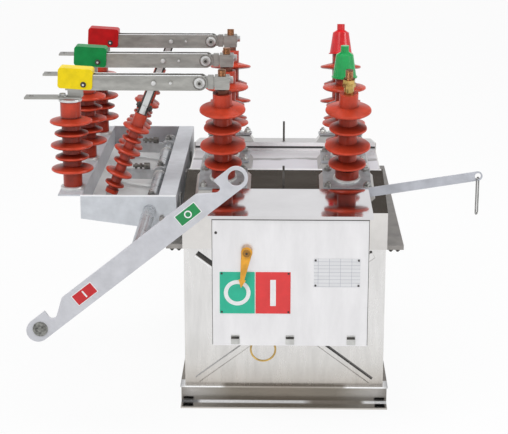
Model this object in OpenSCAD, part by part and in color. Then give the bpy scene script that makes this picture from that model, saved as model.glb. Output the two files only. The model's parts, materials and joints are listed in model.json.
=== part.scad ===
// Outdoor box-type vacuum circuit breaker with a three-pole isolating switch.
// Units are millimetres. X runs to the right, Y runs to the back, Z runs up.
// The origin is the centre of the base frame, on the ground face.
// The three poles stand in a row along Y: front, middle and back.

/* [Poles] */
// Distance between neighbouring poles at their terminals
pole_pitch = 320; // [280:5:400]
// Height of the blade centre line above the ground face
blade_z = 868; // [800:1:950]
// Distance of each row of bushings from the middle plane
bushing_x = 165; // [140:1:200]
// Outward lean of the front and back bushings, in degrees
fan_angle = 10.5; // [0:0.5:20]

/* [Bushings] */
// Core radius
bush_core_r = 25; // [20:0.5:30]
// Radius of the wide sheds
bush_shed_r = 60.5; // [50:1:70]
// Radius of the narrow sheds
bush_small_r = 50; // [40:1:60]
// Distance from the terminal line down to the first shed
bush_first = 79; // [60:1:100]
// Spacing of the sheds
bush_step = 51; // [40:1:60]
// Distance from the terminal line down to the end of the core
bush_top = 30; // [25:1:45]
// Radius of the foot collar
bush_collar_r = 31.5; // [25:1:36]
// Height of the foot collar
bush_collar_h = 30; // [15:1:40]
// Radius of the terminal stud
stud_r = 10; // [8:0.5:14]
// Height of the stud above the terminal line
stud_up = 34; // [20:1:50]
// Side of the square flange
flange_w = 128; // [110:1:150]
// Thickness of the flange
flange_t = 6; // [4:1:10]
// Foot width of the tapered seat
seat_w = 146; // [130:1:170]
// Height of the seat under a middle bushing
seat_h = 18; // [12:1:30]
// Radius over the corners of a brass terminal nut
nut_r = 17; // [14:0.5:22]
// Height of a brass terminal nut
nut_h = 11; // [8:0.5:16]
// Radius of the skirt of a rubber terminal cap
cap_r = 33; // [28:1:40]
// How far a cap reaches below the terminal line
cap_drop = 48; // [40:1:60]
// How far a cap reaches above the terminal line
cap_rise = 41; // [36:1:60]

/* [Housing] */
// Width of the housing
tank_w = 528; // [450:1:600]
// Depth of the housing
tank_d = 840; // [700:1:1000]
// Sheet thickness of the housing
sheet = 3; // [2:0.5:6]
// Height of the shoulder of the hood above the ground face
shoulder_z = 545; // [500:1:600]
// Height of the lower edge of the hood
hood_low_z = 446; // [400:1:500]
// Height of the sunken middle panel
centre_z = 570; // [560:1:620]
// Depth of the sunken middle panel, front to back
centre_d = 312; // [200:1:340]
// Width of the flange along each side of the hood
beam_w = 43; // [30:1:60]
// Height of the flange along each side
beam_h = 12; // [6:1:20]

/* [Base] */
// Height of the base channels
base_h = 65; // [50:1:80]
// Depth of the base channels
base_leg = 44; // [35:1:60]
// Sheet thickness of the base channels
base_t = 4; // [3:0.5:8]
// Length of the front and back channels
base_len = 554; // [500:1:650]
// How far the channel edge stands in front of the housing
base_step = 12; // [5:1:30]
// Distance from a fixing slot to the end of its channel
slot_inset = 19; // [15:1:40]
// Length of a fixing slot
slot_len = 24; // [16:1:32]
// Half width of a fixing slot
slot_r = 6; // [4:0.5:8]

/* [Mechanism box] */
// Width of the box
box_w = 386; // [300:1:450]
// Middle of the box, to the right of the middle plane
box_x = 14; // [-40:1:40]
// Depth of the box
box_d = 233; // [180:1:300]
// Height of the box
box_h = 330; // [280:1:380]
// Height of the lower face of the box
box_low_z = 267; // [200:1:320]
// Overhang of the box lid
lid_over = 9; // [4:1:15]
// Thickness of the box lid
lid_t = 8; // [3:1:12]

/* [Isolating switch] */
// Blade pivot, from the middle plane
pivot_x = -223; // [-260:1:-200]
// Length of the crank arms, equal to the blade arm
crank = 119; // [90:1:150]
// Crank shaft, from the middle plane
shaft_x = -355; // [-400:1:-320]
// Crank shaft height
shaft_z = 538; // [500:1:580]
// Radius of the crank shaft tube
shaft_r = 17; // [12:1:25]
// Height of a blade
blade_h = 40; // [30:1:50]
// Thickness of a blade bar
blade_t = 5; // [3:1:8]
// Clear distance between the two bars of a blade
blade_gap = 26; // [20:1:40]
// Left end of the blades
blade_end_x = -572; // [-620:1:-540]
// Axis of the post insulators
post_x = -562; // [-600:1:-520]
// Height of the foot of the post insulators, level with the top of the frame
post_z = 580; // [560:1:620]
// Height of the post insulators
post_h = 244; // [200:1:280]
// Radius of the wide sheds of the posts
post_shed_r = 55.5; // [45:1:65]
// Radius of the narrow sheds of the posts
post_small_r = 44.5; // [35:1:55]
// Radius of the post core
post_core_r = 25; // [20:1:30]
// Distance from the top of a post down to its first shed
post_first = 63; // [50:1:75]
// Spacing of the sheds of the posts
post_step = 32; // [28:1:38]
// Radius of the pull insulator core
rod_r = 14; // [9:0.5:16]
// Radius of the wide sheds of the pull insulators
rod_shed_r = 36; // [28:1:40]
// Radius of the narrow sheds of the pull insulators
rod_small_r = 26; // [20:1:32]
// Distance from the upper pin of a rod to its first shed
rod_first = 134; // [125:1:140]
// Distance between the sheds of a rod
rod_step = 32.5; // [28:0.5:34]
// Length of the metal link and socket at the upper end of a rod
rod_neck = 91; // [80:1:100]
// Back face of the switch frame, from the middle pole
frame_back_y = 430; // [390:1:500]
// Front face of the switch frame, from the middle pole
frame_front_y = -388; // [-440:1:-360]
// Gap between the frame and the housing
frame_gap = 17; // [8:1:30]
// Width of the frame
frame_w = 251; // [220:1:300]
// Height of the frame floor above the hood flange, at the right
frame_lift = 26; // [10:1:50]
// Rise of the frame floor from right to left
frame_rise = 34; // [0:1:50]
// Thickness of the frame sheet
frame_t = 4; // [3:0.5:6]
// Width of the flat rail along the right of the frame
rail_w = 46; // [30:1:60]
// Width of the terminal strips
strip_w = 40; // [30:1:50]
// Thickness of the terminal strips
strip_t = 5; // [4:0.5:8]
// How far a terminal strip reaches to the left of the post axis
strip_reach = 118; // [90:1:140]
// Radius of the lug hole in a terminal strip
strip_hole_r = 6.5; // [5:0.5:9]

/* [Handle] */
// Distance between the centres of the two handle ends
lever_len = 625; // [500:1:750]
// Width of the handle bar
lever_w = 57; // [40:1:70]
// Thickness of the handle bar
lever_t = 8; // [5:1:12]
// Slope of the handle at rest, in degrees
lever_angle = 38.6; // [30:0.1:45]
// Back face of the handle, from the middle pole
lever_y = -706; // [-740:1:-690]
// Radius of the hole in the upper end of the handle
lever_hole_r = 20; // [14:1:24]
// Distance from the centre of the handle to each hook notch
notch_at = 257; // [230:1:270]
// Radius of the hook notches
notch_r = 11.5; // [8:0.5:13]

/* [Hidden] */
$fn = 64;
eps = 0.01;
stud_root = 30;
eye_up = 43;
eye_y = 272;
eye_hole = 9;
pivot_r = 8;
plug_r = 18.5;
plug_at = 8 - lever_len / 2;
pin_r = 7;
cover_t = 2;
plate_t = 1.5;
pointer_out = 12;
pointer_t = 2;
pointer_lean = 9;
pin_gap = 0.05;
joint_gap = 0.3;
poles = [-1, 0, 1];
lid_slope = tan(fan_angle);
tank_front = -tank_d / 2;
hood_out = sheet;
ridge_z = shoulder_z + (tank_d / 2 + hood_out - centre_d / 2) * lid_slope;
slot_pitch = base_len - 2 * slot_inset;
post_margin = 32;
crank_w = 28;
crank_t = 12;
rod_dx = pivot_x - shaft_x;
rod_dz = blade_z - shaft_z;
rod_len = sqrt(rod_dx * rod_dx + rod_dz * rod_dz);
rod_tilt = atan2(rod_dx, rod_dz);
roof_drop = sheet / cos(fan_angle);
function roof_at(y) = shoulder_z + (tank_d / 2 + hood_out - y) * lid_slope;
function roof_under(y) = roof_at(y) - roof_drop;
// Length of the bushing axis from the terminal line to the roof, outer and middle poles
outer_foot = (blade_z - shoulder_z - (tank_d / 2 + hood_out - pole_pitch) * lid_slope)
             * cos(fan_angle);
middle_foot = blade_z - centre_z;
// Distance from the terminal line down to the flange
bush_len = middle_foot - flange_t - seat_h;
box_front_y = tank_front - hood_out - box_d;
box_top_z = box_low_z + box_h;
// Pointer and signs, from the left edge or the top of the front of the box
box_left = box_x - box_w / 2;
pointer_in = 86;
pointer_x = box_left + pointer_in;
pointer_z = box_top_z - 84;
sign_w = 177;
sign_h = 112;
sign_x = box_left + 18;
sign_drop = 163;
sign_z = pointer_z - sign_drop;
name_w = 114;
name_h = 73;
name_x = box_left + box_w - 21 - name_w;
name_z = pointer_z - 91;
// Pull ring under the box
ring_x = box_left + 125;
ring_y = box_front_y + 95;
ring_r = 31.5;
ring_wire = 2.5;
eye_drop = 12;
eye_r = 8;
eye_wire = 2;
ring_z = box_low_z - eye_drop - eye_r + eye_wire + ring_wire + joint_gap;
// Charging arm
arm_in = 69;
arm_x = tank_w / 2 - arm_in;
arm_y = tank_front + 24;
arm_z = roof_at(-arm_y) + 40;
arm_w = 24;
arm_t = 5;
arm_reach = 303;
arm_rise = 49;
arm_end_x = arm_x + arm_reach;
arm_end_z = arm_z + arm_rise;
arm_hole = 8;
arm_pin_r = 6;
loop_r = 7.5;
loop_l = 98;
loop_wire = 2;
loop_z = arm_end_z - arm_hole + 2 * loop_wire;
// Switch frame
frame_x1 = -tank_w / 2 - sheet - frame_gap;
frame_x0 = frame_x1 - frame_w;
frame_zr = hood_low_z + beam_h + frame_lift;
frame_zl = frame_zr + frame_rise;
frame_l = frame_back_y - frame_front_y - 2 * frame_t;
strip_z = post_z + post_h;

// ---- shared shapes ----

// Places a bushing group: pole is -1, 0 or 1, side is -1 (left) or 1 (right).
// Inside, the origin is the terminal point and the axis runs down.
module at_pole(pole, side) {
  translate([side * bushing_x, pole * pole_pitch, blade_z])
    rotate([-pole * fan_angle, 0, 0])
      children();
}

// One drooping shed: z = 0 is the middle of its rim
function shed_points(core, rim, h) = [
  [core, h], [rim - 4, 6], [rim - 1, 4.5], [rim, 2], [rim, 0], [rim - 4, -3], [core, -h / 2]
];

// Outline of an insulator: list of [height, radius] sheds from the top down
module ribbed(core, top, bottom, sheds, h) {
  rotate_extrude()
    polygon(concat(
      [[0, top], [core, top]],
      [for (s = sheds, p = shed_points(core, s[1], h)) [p[0], p[1] + s[0]]],
      [[core, bottom], [0, bottom]]
    ));
}

// Bar with round ends in the XZ plane, between two points
module link_bar(a, b, w, t) {
  d = [b[0] - a[0], b[1] - a[1]];
  l = norm(d);
  g = atan2(d[1], d[0]);
  translate([a[0], 0, a[1]])
    rotate([90, -g, 0])
      translate([0, 0, -t / 2])
        linear_extrude(t) {
          translate([0, -w / 2]) square([l, w]);
          circle(w / 2);
          translate([l, 0]) circle(w / 2);
        }
}

// Cylinder along Y, centred
module y_rod(r, l) {
  rotate([90, 0, 0]) cylinder(r = r, h = l, center = true);
}

// ---- base ----

// Channel that opens to the front, with slots in its lower leg
module base_channel() {
  difference() {
    translate([-base_len / 2, tank_front - base_step, 0])
      cube([base_len, base_leg, base_h]);
    translate([-base_len / 2 - 1, tank_front - base_step - 1, base_t])
      cube([base_len + 2, base_leg - base_t + 1, base_h - 2 * base_t]);
    for (s = [-1, 1])
      translate([s * slot_pitch / 2, tank_front - base_step + base_leg / 2 - 4, -1])
        linear_extrude(base_t + 2) slot_shape();
  }
}

module slot_shape() {
  square([slot_len - 2 * slot_r, 2 * slot_r], center = true);
  for (s = [-1, 1]) translate([s * (slot_len / 2 - slot_r), 0]) circle(slot_r);
}

module base_front() {
  color([0.55, 0.54, 0.5]) base_channel();
}

module base_rear() {
  color([0.55, 0.54, 0.5]) mirror([0, 1, 0]) base_channel();
}

// Angle bars that join the two channels on the left and the right
module base_sides() {
  inner = tank_front - base_step + base_leg;
  color([0.55, 0.54, 0.5])
    for (s = [0, 1]) mirror([s, 0, 0]) {
      translate([base_len / 2 - base_t, inner, 0]) cube([base_t, -2 * inner, base_h]);
      translate([base_len / 2 - base_leg, inner, base_h - base_t])
        cube([base_leg - base_t, -2 * inner, base_t]);
    }
}

// ---- housing ----

module housing() {
  y1 = centre_d / 2;
  color([0.8, 0.8, 0.79])
    rotate([90, 0, 90])
      translate([0, 0, -tank_w / 2])
        linear_extrude(tank_w)
          polygon([
            [tank_front, base_h], [tank_front, roof_under(-tank_front)],
            [-y1 - sheet, roof_under(y1 + sheet)], [-y1 - sheet, centre_z - sheet],
            [y1 + sheet, centre_z - sheet], [y1 + sheet, roof_under(y1 + sheet)],
            [-tank_front, roof_under(-tank_front)], [-tank_front, base_h]
          ]);
}

// Stamped cross ribs with sloping sides on the front wall
module front_ribs() {
  w = 20;
  dx = tank_w - 66;
  dz = hood_low_z - base_h - 30;
  color([0.8, 0.8, 0.79])
    translate([0, tank_front, (hood_low_z + base_h) / 2])
      for (s = [-1, 1])
        rotate([0, s * atan2(dz, dx), 0]) rotate([90, 0, 90])
          linear_extrude(norm([dx, dz]), center = true)
            polygon([[0, -w / 2], [0, w / 2], [-sheet, w / 2 - sheet], [-sheet, sheet - w / 2]]);
}

// Skirt, sloping roof and inner step of one half of the hood, as one bent sheet
module hood_half() {
  y0 = -tank_front + hood_out;
  y1 = centre_d / 2;
  rotate([90, 0, 90])
    translate([0, 0, -tank_w / 2])
      linear_extrude(tank_w)
        polygon([
          [-y0, hood_low_z], [-y0, shoulder_z], [-y1, ridge_z], [-y1, centre_z - sheet],
          [-y1 - sheet, centre_z - sheet], [-y1 - sheet, roof_under(y1 + sheet)],
          [tank_front, roof_under(-tank_front)], [tank_front, hood_low_z]
        ]);
}

module hood_front() {
  color([0.82, 0.81, 0.8]) hood_half();
}

module hood_rear() {
  color([0.82, 0.81, 0.8]) mirror([0, 1, 0]) hood_half();
}

// Cheeks that close the hood on the left and the right
module hood_sides() {
  y0 = tank_front - hood_out;
  y1 = -centre_d / 2;
  color([0.82, 0.81, 0.8])
    for (s = [0, 1]) mirror([s, 0, 0])
      translate([tank_w / 2, 0, 0])
        rotate([90, 0, 90])
          linear_extrude(sheet)
            polygon([
              [y0, hood_low_z], [y0, shoulder_z], [y1, ridge_z], [y1, centre_z],
              [-y1, centre_z], [-y1, ridge_z], [-y0, shoulder_z], [-y0, hood_low_z]
            ]);
}

module hood_centre() {
  color([0.7, 0.68, 0.66])
    translate([-tank_w / 2, -centre_d / 2, centre_z - sheet])
      cube([tank_w, centre_d, sheet]);
}

// Bolting flanges along both sides of the hood
module side_beams() {
  y0 = tank_front - hood_out;
  color([0.5, 0.48, 0.46])
    for (s = [0, 1]) mirror([s, 0, 0])
      translate([tank_w / 2 + sheet, y0, hood_low_z]) cube([beam_w, -2 * y0, beam_h]);
}

// ---- bushings ----

// Tapered seat: h is its height on the roof side
module seat(foot) {
  h = foot - bush_len - flange_t;
  top = flange_w / 2 - 4;
  outline = [[-seat_w / 2, 0], [seat_w / 2, 0], [top, h], [-top, h]];
  intersection() {
    translate([0, 0, -foot]) rotate([90, 0, 0])
      linear_extrude(seat_w + 2, center = true)
        polygon(outline);
    translate([0, 0, -foot]) rotate([90, 0, 90])
      linear_extrude(seat_w + 2, center = true)
        polygon(outline);
  }
}

module bushing_seats() {
  color([0.78, 0.77, 0.75])
    for (pole = poles, side = [-1, 1])
      at_pole(pole, side) seat(pole == 0 ? middle_foot : outer_foot);
}

module bushing_flanges() {
  color([0.62, 0.64, 0.66])
    for (pole = poles, side = [-1, 1])
      at_pole(pole, side)
        translate([-flange_w / 2, -flange_w / 2, -bush_len - flange_t])
          cube([flange_w, flange_w, flange_t]);
}

module bushing() {
  ribbed(bush_core_r, -bush_top, -bush_len + bush_collar_h, [
    for (k = [0:3]) [-bush_first - k * bush_step, k % 2 == 0 ? bush_shed_r : bush_small_r]
  ], 14);
  translate([0, 0, -bush_len]) cylinder(r = bush_collar_r, h = bush_collar_h + eps);
}

module bushing_row(side) {
  color([0.72, 0.2, 0.12])
    for (pole = poles) at_pole(pole, side)
      difference() {
        bushing();
        translate([0, 0, -bush_top - stud_root]) cylinder(r = stud_r + pin_gap, h = stud_root + 1);
      }
}

module bushings_left() {
  bushing_row(-1);
}

module bushings_right() {
  bushing_row(1);
}

module studs() {
  color([0.72, 0.45, 0.28])
    for (pole = poles, side = [-1, 1])
      at_pole(pole, side)
        translate([0, 0, -bush_top - stud_root])
          cylinder(r = stud_r, h = bush_top + stud_root + stud_up);
}

// Collar, nut and lock nut on the bare front stud
module stud_nuts() {
  collar_r = 13;
  collar_h = 18;
  color([0.78, 0.6, 0.3])
    at_pole(-1, 1) translate([0, 0, -bush_top])
      difference() {
        union() {
          cylinder(r = collar_r, h = collar_h);
          translate([0, 0, collar_h]) cylinder(r = nut_r, h = nut_h, $fn = 6);
          translate([0, 0, collar_h + nut_h]) rotate(20) cylinder(r = nut_r, h = nut_h, $fn = 6);
        }
        translate([0, 0, -1]) cylinder(r = stud_r + pin_gap, h = collar_h + 2 * nut_h + 2);
      }
}

// Rubber terminal cap: lip, flared skirt, shoulder and neck over the stud
module terminal_cap() {
  neck_r = stud_r + 1.5;
  shoulder_r = cap_r - 9;
  difference() {
    rotate_extrude()
      polygon([
        [0, cap_rise], [neck_r, cap_rise], [neck_r, 24], [shoulder_r, 16], [cap_r, 4 - cap_drop],
        [cap_r + 3, 3 - cap_drop], [cap_r + 3, -cap_drop], [0, -cap_drop]
      ]);
    translate([0, 0, -bush_top - 1]) cylinder(r = stud_r + pin_gap, h = bush_top + stud_up + 1);
    translate([0, 0, -cap_drop - 1]) cylinder(r = bush_core_r + pin_gap, h = cap_drop - bush_top + 1);
  }
}

module cap_green() {
  color([0.1, 0.55, 0.3]) at_pole(0, 1) terminal_cap();
}

module cap_red() {
  color([0.8, 0.1, 0.1]) at_pole(1, 1) translate([0, 0, 9]) terminal_cap();
}

// Lifting eye plates on the ridge lines
module lifting_eyes() {
  y0 = eye_y;
  z0 = roof_at(y0) + eye_up;
  rim = 16;
  color([0.7, 0.7, 0.68])
    for (s = [0, 1]) mirror([0, s, 0])
      translate([-7, 0, 0]) rotate([90, 0, 90]) linear_extrude(6)
        difference() {
          union() {
            polygon([[-y0 - 26, roof_at(y0 + 26)], [-y0 + 26, roof_at(y0 - 26)],
                     [-y0 + rim, z0], [-y0 - rim, z0]]);
            translate([-y0, z0]) circle(rim);
          }
          translate([-y0, z0]) circle(eye_hole);
        }
}

// ---- blades ----

// Clamp on the left stud with the lug that carries the blade
module terminal_clamps() {
  w = 38;
  h = 34;
  neck = 22;
  x0 = -bushing_x - w / 2;
  color([0.75, 0.73, 0.7])
    for (pole = poles) translate([0, pole * pole_pitch, blade_z])
      difference() {
        union() {
          translate([x0, -20, -h / 2]) cube([w, 40, h]);
          translate([x0 - neck + eps, -8, -12]) cube([neck, 16, 24]);
          link_bar([pivot_x, 0], [x0 - neck, 0], 30, 16);
        }
        rotate([-pole * fan_angle, 0, 0]) translate([-bushing_x, 0, -h])
          cylinder(r = stud_r + pin_gap, h = 2 * h);
        translate([pivot_x, 0, 0]) y_rod(pivot_r + pin_gap, 60);
        translate([-bushing_x - 1, -1, -h]) cube([w, 2, 2 * h]);
      }
}

// Pair of bars with their pivot pin, joint pin and spacer
module blade() {
  difference() {
    for (s = [0, 1]) mirror([0, s, 0])
      translate([0, (blade_gap + blade_t) / 2, 0])
        link_bar([pivot_x, 0], [blade_end_x, 0], blade_h, blade_t);
    // square the left end inside the cover
    translate([blade_end_x - 60, -50, -50]) cube([60, 100, 100]);
  }
  w = blade_gap + 2 * blade_t;
  translate([pivot_x, 0, 0]) y_rod(pivot_r, w + 16);
  translate([pivot_x - crank, 0, 0]) y_rod(pin_r, w + 10);
  translate([pivot_x - crank + 44, 0, 0]) y_rod(6, w + 8);
}

// Coloured cap over the contact end of a blade, a little tilted, about its own middle
module cover_block(w, h, r, half) {
  rotate([90, 3.5, 0])
    linear_extrude(2 * half, center = true) {
      square([w - 2 * r, h], center = true);
      square([w, h - 2 * r], center = true);
      for (x = [-1, 1], z = [-1, 1]) translate([x * (w / 2 - r), z * (h / 2 - r)]) circle(r);
    }
}

module blade_front() {
  color([0.6, 0.61, 0.6]) translate([0, -pole_pitch, blade_z]) blade();
}

module blade_middle() {
  color([0.6, 0.61, 0.6]) translate([0, 0, blade_z]) blade();
}

module blade_rear() {
  color([0.6, 0.61, 0.6]) translate([0, pole_pitch, blade_z]) blade();
}

module cover_yellow() {
  color([0.92, 0.82, 0.1]) translate([0, -pole_pitch, blade_z]) placed_cover();
}

module cover_green() {
  color([0.1, 0.55, 0.3]) translate([0, 0, blade_z]) placed_cover();
}

module cover_red() {
  color([0.8, 0.12, 0.1]) translate([0, pole_pitch, blade_z]) placed_cover();
}

module placed_cover() {
  w = 90;
  h = 54;
  o = (blade_gap + 2 * blade_t) / 2;
  difference() {
    translate([blade_end_x + 27, 0, 11]) cover_block(w, h, 8, o + 5);
    translate([blade_end_x - 6, -o, -h]) cube([2 * w, 2 * o, h + blade_h / 2]);
  }
}

// ---- post insulators ----

module posts() {
  color([0.72, 0.2, 0.12])
    for (pole = poles) translate([post_x, pole * pole_pitch, post_z]) {
      ribbed(post_core_r, post_h, 6, [
        for (k = [0:4])
          [post_h - post_first - k * post_step, k % 2 == 0 ? post_shed_r : post_small_r]
      ], 12);
      translate([0, 0, post_h - 48]) cylinder(r = post_core_r + 2, h = 44);
      cylinder(r = post_core_r + 3, h = 8);
    }
}

// Flat terminal strip with the upright contact that the blade closes over
module post_contacts() {
  color([0.62, 0.63, 0.6])
    for (pole = poles) translate([post_x, pole * pole_pitch, strip_z]) {
      difference() {
        translate([-strip_reach, -strip_w / 2, 0]) cube([strip_reach + 30, strip_w, strip_t]);
        translate([16 - strip_reach, 0, -1]) cylinder(r = strip_hole_r, h = strip_t + 2);
      }
      translate([-6, -5, strip_t - eps]) cube([strip_w, 10, blade_z + 12 - strip_z - strip_t]);
    }
}

// ---- pull insulators ----

// Origin at the crank pin, axis up
module rod_shape() {
  fork = 14;
  foot = 34;
  sleeve_r = rod_r + 3;
  link_w = 24;
  difference() {
    union() {
      ribbed(rod_r, rod_len - rod_neck - 1, foot + 8, [
        for (k = [0:5])
          [rod_len - rod_first - k * rod_step, k % 2 == 0 ? rod_shed_r : rod_small_r]
      ], 9);
      translate([0, 0, rod_len - rod_first]) cylinder(r = sleeve_r, h = rod_first - rod_neck);
      translate([0, 0, foot - 2]) cylinder(r = sleeve_r, h = 14);
      translate([0, 0, rod_len - rod_neck - eps]) cylinder(r = rod_r - 1, h = 24);
      translate([0, 0, rod_len]) link_bar([0, 0], [0, -rod_neck], link_w, fork);
      for (s = [-1, 1]) translate([0, s * fork, 0]) link_bar([0, 0], [0, foot], link_w, 6);
      translate([-link_w / 2, -fork - 3, foot - 8]) cube([link_w, 2 * fork + 6, 10]);
    }
    translate([0, 0, rod_len]) y_rod(pin_r + pin_gap, 60);
    y_rod(pin_r + pin_gap, 80);
  }
}

module placed_rod(pole) {
  translate([shaft_x - crank, pole * pole_pitch, shaft_z])
    rotate([0, rod_tilt, 0]) rod_shape();
}

module rod_front() {
  color([0.72, 0.2, 0.12]) placed_rod(-1);
}

module rod_middle() {
  color([0.72, 0.2, 0.12]) placed_rod(0);
}

module rod_rear() {
  color([0.72, 0.2, 0.12]) placed_rod(1);
}

// ---- switch frame ----

// End wall with the bearing hole of the shaft; y is its back face
module frame_end(y) {
  color([0.75, 0.76, 0.78])
    difference() {
      translate([0, y, 0]) rotate([90, 0, 0]) linear_extrude(frame_t)
        polygon([[frame_x0, frame_zl - 2], [frame_x1, frame_zr - 2], [frame_x1, post_z],
                 [frame_x0, post_z]]);
      translate([shaft_x, y, shaft_z]) y_rod(shaft_r + pin_gap, 20);
    }
}

module frame_front() {
  frame_end(frame_front_y + frame_t);
}

module frame_rear() {
  frame_end(frame_back_y);
}

// Left wall with the ledge that carries the posts
module frame_left() {
  t = frame_t;
  ledge = frame_x0 - post_x + post_margin;
  color([0.6, 0.62, 0.64]) translate([frame_x0, frame_front_y + t, 0]) {
    translate([0, 0, frame_zl]) cube([t, frame_l, post_z - frame_zl]);
    translate([-ledge, 0, post_z - t]) cube([ledge + eps, frame_l, t]);
  }
}

module frame_right() {
  t = frame_t;
  color([0.72, 0.73, 0.76]) translate([frame_x1, frame_front_y + t, 0]) {
    translate([-t, 0, frame_zr]) cube([t, frame_l, post_z - frame_zr]);
    translate([-rail_w, 0, post_z - t]) cube([rail_w - t + eps, frame_l, t]);
  }
}

module frame_floor() {
  t = frame_t;
  color([0.75, 0.76, 0.76])
    translate([0, frame_back_y - t, 0]) rotate([90, 0, 0]) linear_extrude(frame_l)
      polygon([[frame_x0 + t, frame_zl], [frame_x1 - t, frame_zr],
               [frame_x1 - t, frame_zr + sheet], [frame_x0 + t, frame_zl + sheet]]);
}

// Brackets that carry the frame on the flange of the housing
module frame_brackets() {
  w = 40;
  t = frame_t;
  z0 = hood_low_z + beam_h;
  color([0.75, 0.75, 0.74])
    for (k = [-1, 0, 1]) translate([frame_x1, k * tank_d * 0.3 - w / 2, z0]) {
      cube([t, w, post_z - 32 - z0]);
      cube([frame_gap, w, t]);
    }
}

// ---- shaft and handle ----

module shaft() {
  y1 = frame_back_y + 20;
  color([0.65, 0.68, 0.7])
    translate([shaft_x, y1, shaft_z]) rotate([90, 0, 0]) cylinder(r = shaft_r, h = y1 - lever_y);
}

// Crank arms clamped on the shaft, each with its pin
module cranks() {
  color([0.6, 0.63, 0.65])
    for (pole = poles) translate([0, pole * pole_pitch, shaft_z]) {
      difference() {
        union() {
          link_bar([shaft_x, 0], [shaft_x - crank, 0], crank_w, crank_t);
          translate([shaft_x, 0, 0]) y_rod(shaft_r + 6, 30);
        }
        translate([shaft_x, 0, 0]) y_rod(shaft_r + pin_gap, 40);
      }
      translate([shaft_x - crank, 0, 0]) y_rod(pin_r, 50);
    }
}

// Open hook notch in the upper edge of the bar: a round seat with one long sloping side
module notch() {
  edge = lever_w / 2 + 1;
  seat_y = 11;
  translate([notch_at, seat_y]) {
    circle(notch_r);
    polygon([[10, edge - seat_y], [10.5, 3], [-6.5, -9.3], [-47, edge - seat_y]]);
  }
}

// Double-ended flat handle in its own plane: x along the bar
module lever_outline() {
  h = lever_len / 2;
  difference() {
    union() {
      translate([-h, -lever_w / 2]) square([lever_len, lever_w]);
      translate([h, 0]) circle(lever_w / 2);
      translate([-h, 0]) circle(lever_w / 2);
    }
    translate([h, 0]) circle(lever_hole_r);
    notch();
    mirror([1, 0]) notch();
  }
}

module handle() {
  color([0.75, 0.76, 0.8])
    at_lever() difference() {
      linear_extrude(lever_t) lever_outline();
      translate([plug_at, 0, -1]) cylinder(r = plug_r + pin_gap, h = lever_t + 2);
    }
}

// Plane of the handle: x runs up along the bar, z = 0 is its back face
module at_lever() {
  translate([shaft_x - 6, lever_y, shaft_z - 20]) rotate([90, -lever_angle, 0]) children();
}

// Galvanised plug in the lower end of the handle
module handle_plug() {
  color([0.5, 0.5, 0.48])
    at_lever() translate([plug_at, 0, 0]) cylinder(r = plug_r, h = lever_t + 2);
}

module stop_pin() {
  color([0.5, 0.5, 0.5])
    translate([shaft_x + 33, frame_front_y, shaft_z - 16]) rotate([90, 0, 0]) cylinder(r = 6, h = 24);
}

// ---- mechanism box ----

module mechanism_box() {
  color([0.85, 0.85, 0.85])
    translate([box_left, box_front_y + cover_t, box_low_z])
      cube([box_w, box_d - cover_t, box_h]);
}

// Front cover with the pivot of the pointer
module mechanism_front() {
  color([0.9, 0.9, 0.9]) {
    translate([box_left, box_front_y, box_low_z]) cube([box_w, cover_t, box_h]);
    translate([pointer_x, box_front_y, pointer_z]) rotate([90, 0, 0]) {
      cylinder(r = 9, h = pointer_out - joint_gap);
      cylinder(r = 5, h = pointer_out + 6);
      translate([0, 0, pointer_out + pointer_t + joint_gap]) cylinder(r = 9, h = 3.7);
    }
  }
}

module mechanism_lid() {
  color([0.85, 0.84, 0.84])
    translate([box_left - lid_over, box_front_y - lid_over, box_top_z])
      cube([box_w + 2 * lid_over, box_d + lid_over + 15, lid_t]);
}

module sign_plate() {
  color([0.8, 0.1, 0.15])
    translate([sign_x, box_front_y - plate_t, sign_z]) cube([sign_w, plate_t, sign_h]);
}

module name_plate() {
  color([0.8, 0.8, 0.8])
    translate([name_x, box_front_y - plate_t, name_z]) cube([name_w, plate_t, name_h]);
}

// Tapered hand with an arrow tip, leaning to the left at rest
module pointer() {
  hub_r = 14;
  arrow_z = -71;
  color([0.95, 0.55, 0.1])
    translate([pointer_x, box_front_y - pointer_out, pointer_z]) rotate([90, pointer_lean, 0])
      linear_extrude(pointer_t)
        difference() {
          union() {
            circle(hub_r);
            polygon([[-13, -4], [-5, arrow_z], [-9, arrow_z], [0, -92], [9, arrow_z],
                     [5, arrow_z], [13, -4]]);
          }
          circle(5 + pin_gap);
        }
}

// Eye under the box that carries the pull ring
module ring_eye() {
  color([0.7, 0.6, 0.3])
    translate([ring_x, ring_y, box_low_z]) {
      translate([-8, -12, -4]) cube([16, 24, 4]);
      translate([0, 0, -eye_drop]) rotate([0, 90, 0])
        rotate_extrude() translate([eye_r, 0]) circle(eye_wire);
    }
}

module pull_ring() {
  color([0.78, 0.62, 0.3])
    translate([ring_x, ring_y, ring_z - ring_r]) rotate([90, 0, 0])
      rotate_extrude() translate([ring_r, 0]) circle(ring_wire);
}

// ---- charging arm ----

// Bracket on the roof behind the box, with the pivot pin of the arm
module arm_hub() {
  back = 6;
  t = 8;
  w = 28;
  top = arm_z + t;
  color([0.6, 0.6, 0.6]) translate([arm_x, arm_y, 0]) {
    translate([-w / 2, back, 0]) rotate([90, 0, 90]) linear_extrude(w)
      polygon([[0, roof_at(-arm_y - back)], [t, roof_at(-arm_y - back - t)], [t, top], [0, top]]);
    translate([0, back + t, arm_z]) rotate([90, 0, 0])
      cylinder(r = arm_pin_r, h = back + t + 9);
    translate([0, back, arm_z]) rotate([90, 0, 0])
      cylinder(r = 11, h = back - arm_t / 2 - joint_gap);
  }
}

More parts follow.
